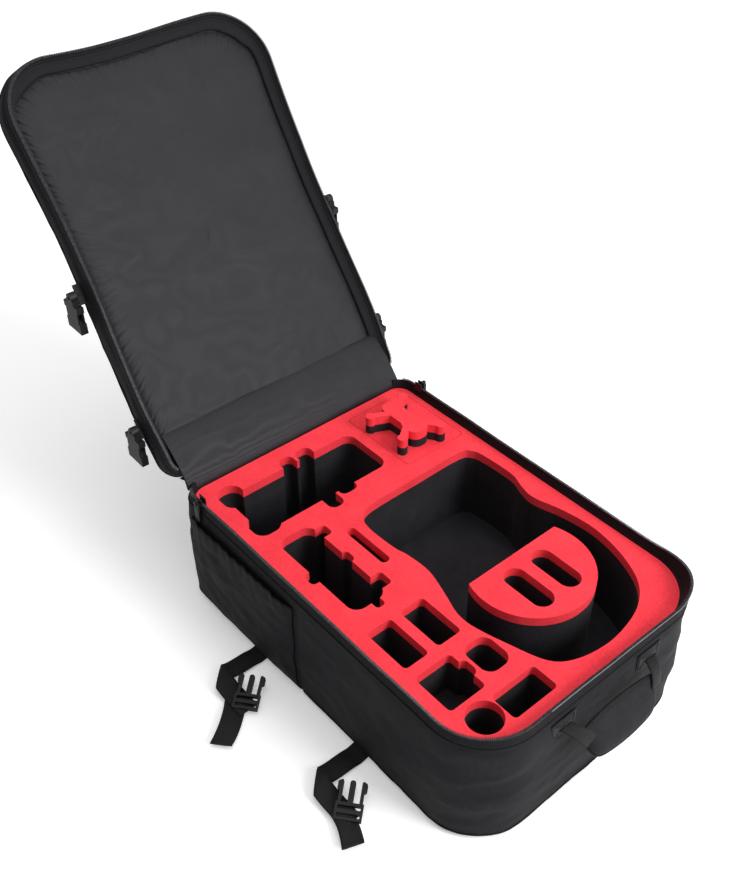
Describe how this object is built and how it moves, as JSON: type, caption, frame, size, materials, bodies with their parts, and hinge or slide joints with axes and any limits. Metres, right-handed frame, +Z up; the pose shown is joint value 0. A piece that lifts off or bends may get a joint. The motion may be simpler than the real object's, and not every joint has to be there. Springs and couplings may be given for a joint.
{
  "type": "drone carrying case",
  "caption": "Soft zipped backpack-style case lying open, with a hinged padded lid, side-release straps and a layered foam insert cut for a drone and its kit.",
  "frame": {"origin": "middle of the bag's underside, on the surface that it lies on", "axes": "+X from the hinge end to the handle end, +Y towards the far long side, +Z up out of the open bag"},
  "size_m": [0.882, 0.5902, 0.5888],
  "materials": {
    "shell_fabric": "matt woven polyester, coated, slightly crumpled",
    "lining_fabric": "satin nylon lining",
    "trim_tape": "ribbed polyester tape",
    "webbing": "ribbed polyester webbing",
    "padded_fabric": "padded woven polyester",
    "buckle_plastic": "moulded acetal, satin",
    "pull_plastic": "moulded, satin",
    "zip_coil": "nylon coil",
    "slider_metal": "black painted die-cast",
    "foam_red": "closed-cell foam, fine matt grain",
    "foam_black": "closed-cell foam, fine matt grain"
  },
  "bodies": {
    "case": {"floor_panel": "shell_fabric", "side_wall": "shell_fabric", "back_padding": "foam_black", "body_lining": "lining_fabric", "floor_piping": "trim_tape", "rim_welt": "trim_tape", "body_zip_tape": "trim_tape", "body_zip_teeth": "zip_coil", "hinge_fabric": "shell_fabric", "side_pocket_near": "shell_fabric", "side_pocket_far": "shell_fabric", "pocket_elastics": "trim_tape", "handle_patches": "webbing", "strap_near": "webbing", "strap_far": "webbing"},
    "lid": {"lid_panel": "shell_fabric", "lid_gusset": "shell_fabric", "lid_padding": "foam_black", "lid_lining": "lining_fabric", "lid_piping": "trim_tape", "lid_zip_tape": "trim_tape", "lid_zip_teeth": "zip_coil", "lid_hinge_flap": "shell_fabric", "lid_tabs": "webbing"},
    "handle": {"handle_webbing": "webbing", "handle_grip": "padded_fabric"},
    "foam": {"foam_base": "foam_black", "foam_low": "foam_black", "foam_mid": "foam_black", "foam_top": "foam_red", "island_core": "foam_black", "island_top": "foam_red"},
    "cover": {"cover_core": "foam_black", "cover_top": "foam_red", "grip_core": "foam_black", "grip_top": "foam_red"},
    "slider_near": {"slider_near": "slider_metal"},
    "slider_far": {"slider_far": "slider_metal"},
    "pull_near": {"pull_near": "pull_plastic"},
    "pull_far": {"pull_far": "pull_plastic"},
    "buckle_near_back": {"buckle_near_back": "buckle_plastic"},
    "buckle_near_front": {"buckle_near_front": "buckle_plastic"},
    "buckle_far_back": {"buckle_far_back": "buckle_plastic"},
    "buckle_far_front": {"buckle_far_front": "buckle_plastic"},
    "clip_near_back": {"clip_near_back": "buckle_plastic"},
    "clip_near_front": {"clip_near_front": "buckle_plastic"},
    "clip_far_back": {"clip_far_back": "buckle_plastic"},
    "clip_far_front": {"clip_far_front": "buckle_plastic"}
  },
  "joints": [
    {"name": "lid_hinge", "type": "hinge", "parent": "case", "child": "lid", "pos_m": [-0.258, 0, 0.17025], "axis": [0, 1, 0], "range_deg": [-50, 124.5]},
    {"name": "handle_lift", "type": "hinge", "parent": "case", "child": "handle", "pos_m": [0.259, 0, 0.138], "axis": [0, -1, 0], "range_deg": [-15, 85]},
    {"name": "foam_lift", "type": "slide", "parent": "case", "child": "foam", "axis": [0, 0, 1], "range_m": [0, 0.19]},
    {"name": "cover_lift", "type": "slide", "parent": "foam", "child": "cover", "axis": [0, 0, 1], "range_m": [0, 0.06]},
    {"name": "slider_near_travel", "type": "slide", "parent": "case", "child": "slider_near", "axis": [1, 0, 0], "range_m": [0, 0.38]},
    {"name": "pull_near_flip", "type": "hinge", "parent": "slider_near", "child": "pull_near", "pos_m": [-0.214, -0.1805, 0.17225], "axis": [-1, 0, 0], "range_deg": [0, 150]},
    {"name": "slider_far_travel", "type": "slide", "parent": "case", "child": "slider_far", "axis": [1, 0, 0], "range_m": [0, 0.38]},
    {"name": "pull_far_flip", "type": "hinge", "parent": "slider_far", "child": "pull_far", "pos_m": [-0.214, 0.1805, 0.17225], "axis": [1, 0, 0], "range_deg": [0, 150]},
    {"name": "buckle_near_back_flip", "type": "hinge", "parent": "case", "child": "buckle_near_back", "pos_m": [-0.04766, -0.24487, 0.00664], "axis": [0.766, 0.6428, 0], "range_deg": [0, 70]},
    {"name": "buckle_near_front_flip", "type": "hinge", "parent": "case", "child": "buckle_near_front", "pos_m": [0.13734, -0.24487, 0.00664], "axis": [0.766, 0.6428, 0], "range_deg": [0, 70]},
    {"name": "buckle_far_back_flip", "type": "hinge", "parent": "case", "child": "buckle_far_back", "pos_m": [-0.04766, 0.24487, 0.00664], "axis": [-0.766, 0.6428, 0], "range_deg": [0, 70]},
    {"name": "buckle_far_front_flip", "type": "hinge", "parent": "case", "child": "buckle_far_front", "pos_m": [0.13734, 0.24487, 0.00664], "axis": [-0.766, 0.6428, 0], "range_deg": [0, 70]},
    {"name": "clip_near_back_swing", "type": "hinge", "parent": "lid", "child": "clip_near_back", "pos_m": [-0.32363, -0.1865, 0.21769], "axis": [0, 1, 0], "range_deg": [-60, 60]},
    {"name": "clip_near_front_swing", "type": "hinge", "parent": "lid", "child": "clip_near_front", "pos_m": [-0.42228, -0.1865, 0.35858], "axis": [0, 1, 0], "range_deg": [-60, 60]},
    {"name": "clip_far_back_swing", "type": "hinge", "parent": "lid", "child": "clip_far_back", "pos_m": [-0.32363, 0.1865, 0.21769], "axis": [0, 1, 0], "range_deg": [-60, 60]},
    {"name": "clip_far_front_swing", "type": "hinge", "parent": "lid", "child": "clip_far_front", "pos_m": [-0.42228, 0.1865, 0.35858], "axis": [0, 1, 0], "range_deg": [-60, 60]}
  ]
}
